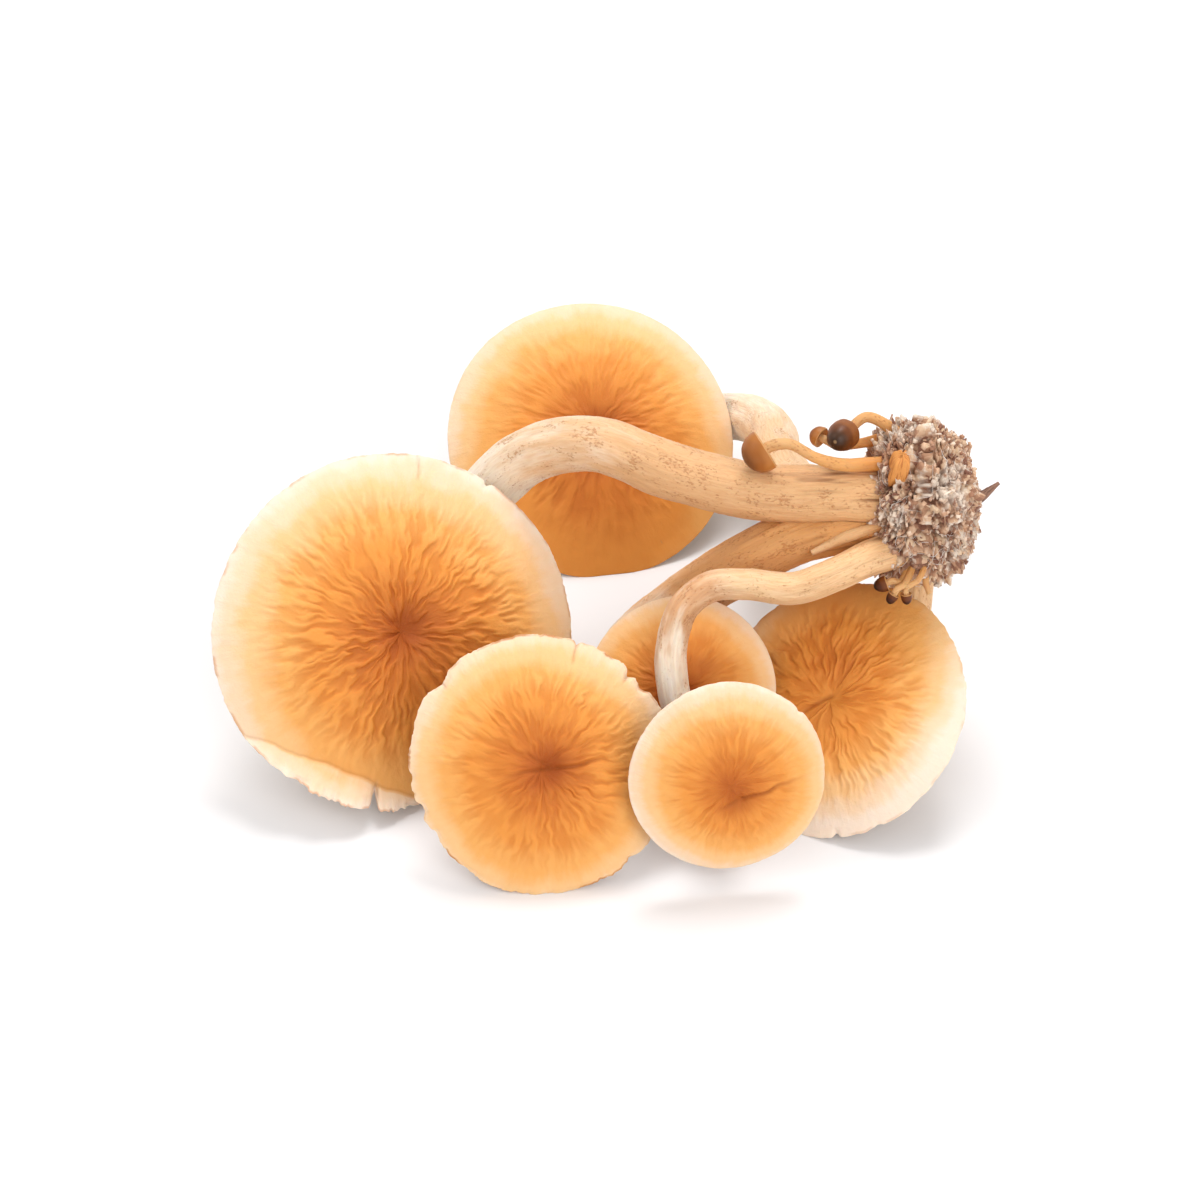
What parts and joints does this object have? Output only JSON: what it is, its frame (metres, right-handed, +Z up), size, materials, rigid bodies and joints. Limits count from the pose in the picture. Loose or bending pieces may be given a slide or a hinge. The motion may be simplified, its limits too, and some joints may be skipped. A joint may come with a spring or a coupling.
{
  "type": "pioppino mushroom cluster",
  "caption": "Harvested bunch of pioppino mushrooms lying on its caps, with arching stems, young pins and a clump of growing medium.",
  "frame": {"origin": "middle of the bunch's bounding box, on the table it lies on", "axes": "+X along the longest side, towards the clump; -Y the way the crowns of the caps face; +Z up"},
  "size_m": [0.1294, 0.1216, 0.0587],
  "materials": {
    "cap_skin": "matt wrinkled mushroom cap skin, orange brown with a pale cream rim",
    "stem_flesh": "matt fibrous mushroom stem, cream to tan with brown specks",
    "pin_skin": "smooth satin brown skin of young caps",
    "growing_medium": "rough sawdust bound by white mycelium",
    "chip_wood": "bare splintered wood"
  },
  "bodies": {
    "root": {"cap_left": "cap_skin", "cap_back": "cap_skin", "cap_front": "cap_skin", "cap_small": "cap_skin", "cap_middle": "cap_skin", "cap_right": "cap_skin", "stem_left": "stem_flesh", "stem_back": "stem_flesh", "stem_front": "stem_flesh", "stem_small": "stem_flesh", "stem_middle": "stem_flesh", "stem_right": "stem_flesh", "pin_acorn_cap": "pin_skin", "pin_acorn_stem": "stem_flesh", "pin_dark_cap": "pin_skin", "pin_dark_stem": "stem_flesh", "pin_pale_cap": "pin_skin", "pin_pale_stem": "stem_flesh", "pin_low_a_cap": "pin_skin", "pin_low_a_stem": "stem_flesh", "pin_low_b_cap": "pin_skin", "pin_low_b_stem": "stem_flesh", "pin_low_c_cap": "pin_skin", "pin_low_c_stem": "stem_flesh", "pin_aborted_cap": "pin_skin", "pin_aborted_stem": "stem_flesh", "pin_withered": "stem_flesh", "pin_thread": "stem_flesh", "substrate_clump": "growing_medium", "wood_chip": "chip_wood", "twig": "chip_wood"}
  },
  "joints": []
}
